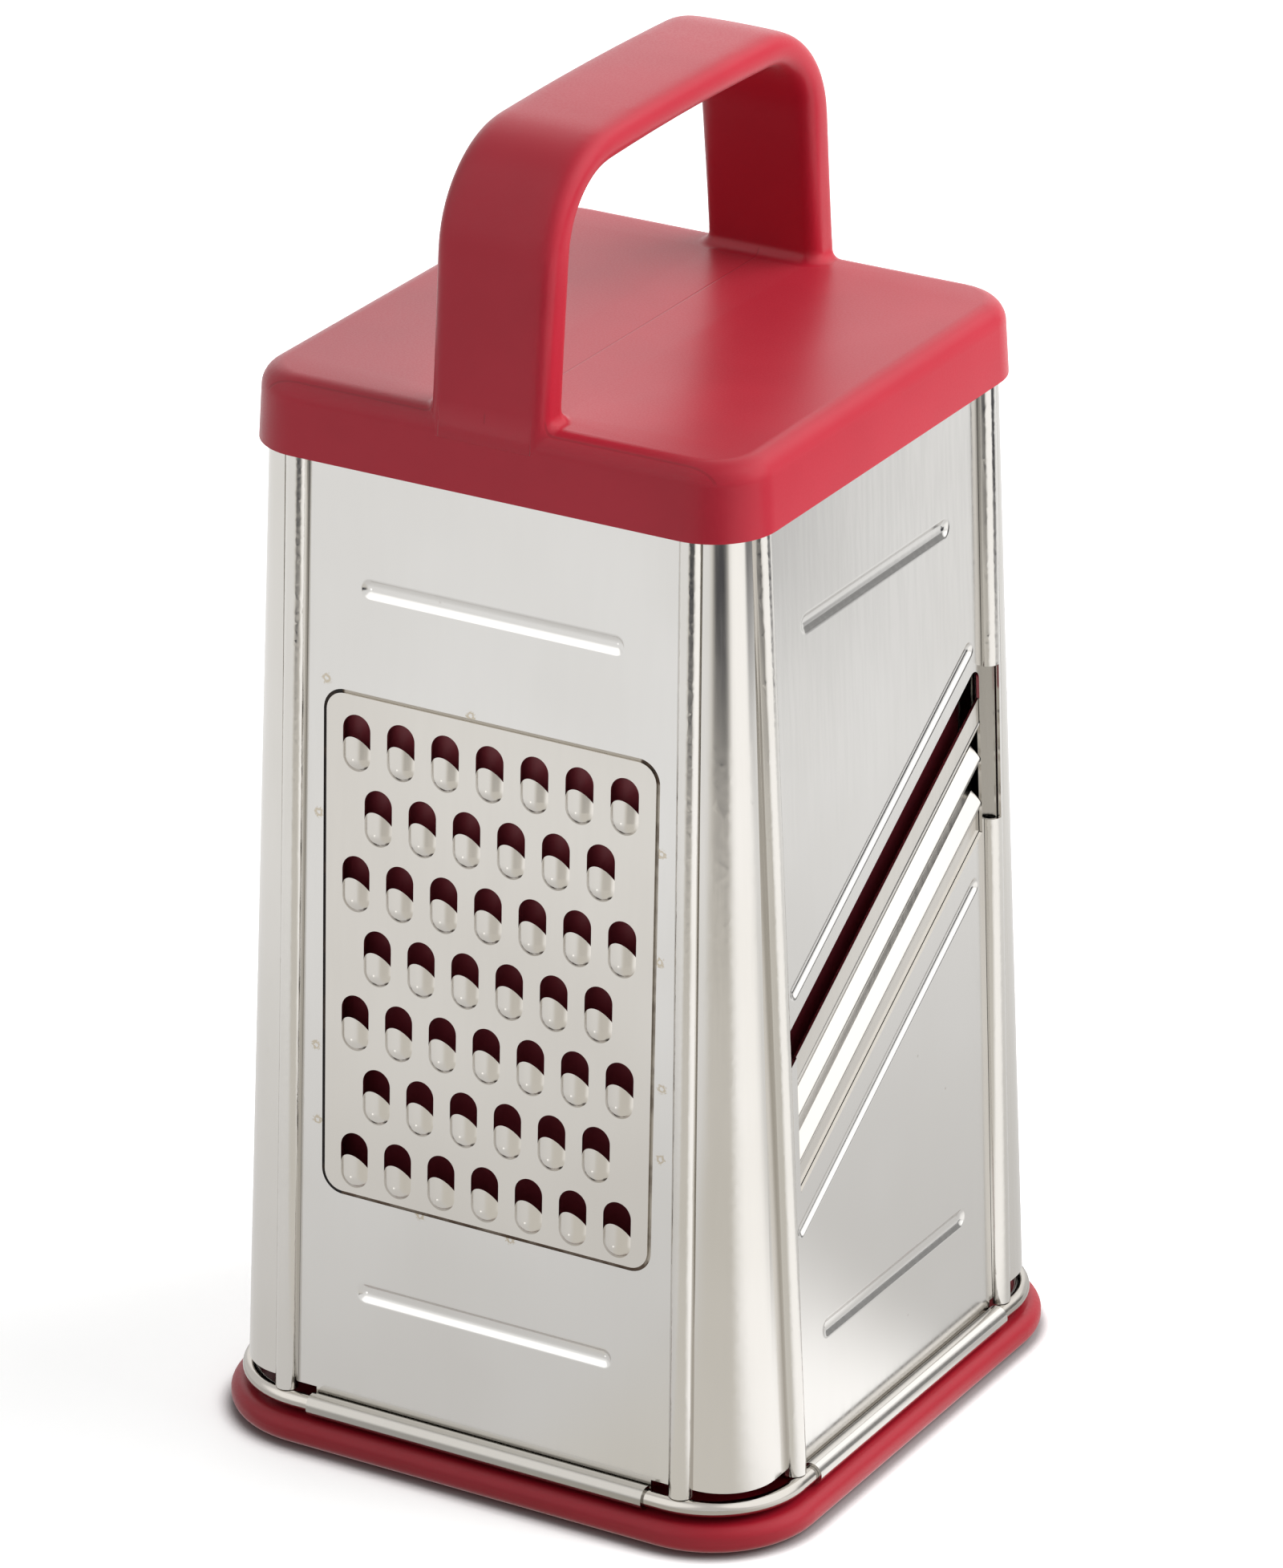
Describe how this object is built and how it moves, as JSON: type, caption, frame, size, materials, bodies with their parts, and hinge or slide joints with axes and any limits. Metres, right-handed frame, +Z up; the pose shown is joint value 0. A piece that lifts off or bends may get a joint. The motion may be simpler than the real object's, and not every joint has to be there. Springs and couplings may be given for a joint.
{
  "type": "box grater",
  "caption": "Four-sided sheet-metal grater with a moulded cap and arched handle, a wire rim at its foot, and a container underneath that catches the food.",
  "frame": {"origin": "centre of the face that rests on the table, under the middle of the bounding box", "axes": "+Z up through the handle; -Y towards the coarse grating side; +X towards the slicing side"},
  "size_m": [0.1248, 0.128, 0.2624],
  "materials": {
    "red_plastic": "satin moulded",
    "steel_sheet": "bright rolled sheet",
    "steel_wire": "polished wire"
  },
  "bodies": {
    "container": {"catch_container": "red_plastic"},
    "grater": {"handle_cap": "red_plastic", "wire_rim": "steel_wire", "front_panel": "steel_sheet", "back_panel": "steel_sheet", "left_panel": "steel_sheet", "right_panel": "steel_sheet", "slicer_plate": "steel_sheet", "coarse_grating_plate": "steel_sheet", "medium_grating_plate": "steel_sheet", "fine_grating_plate": "steel_sheet", "front_right_post": "steel_sheet", "front_left_post": "steel_sheet", "back_right_post": "steel_sheet", "back_left_post": "steel_sheet"}
  },
  "joints": [
    {"name": "lift_off", "type": "slide", "parent": "container", "child": "grater", "axis": [0, 0, 1], "range_m": [0, 0.15]}
  ]
}
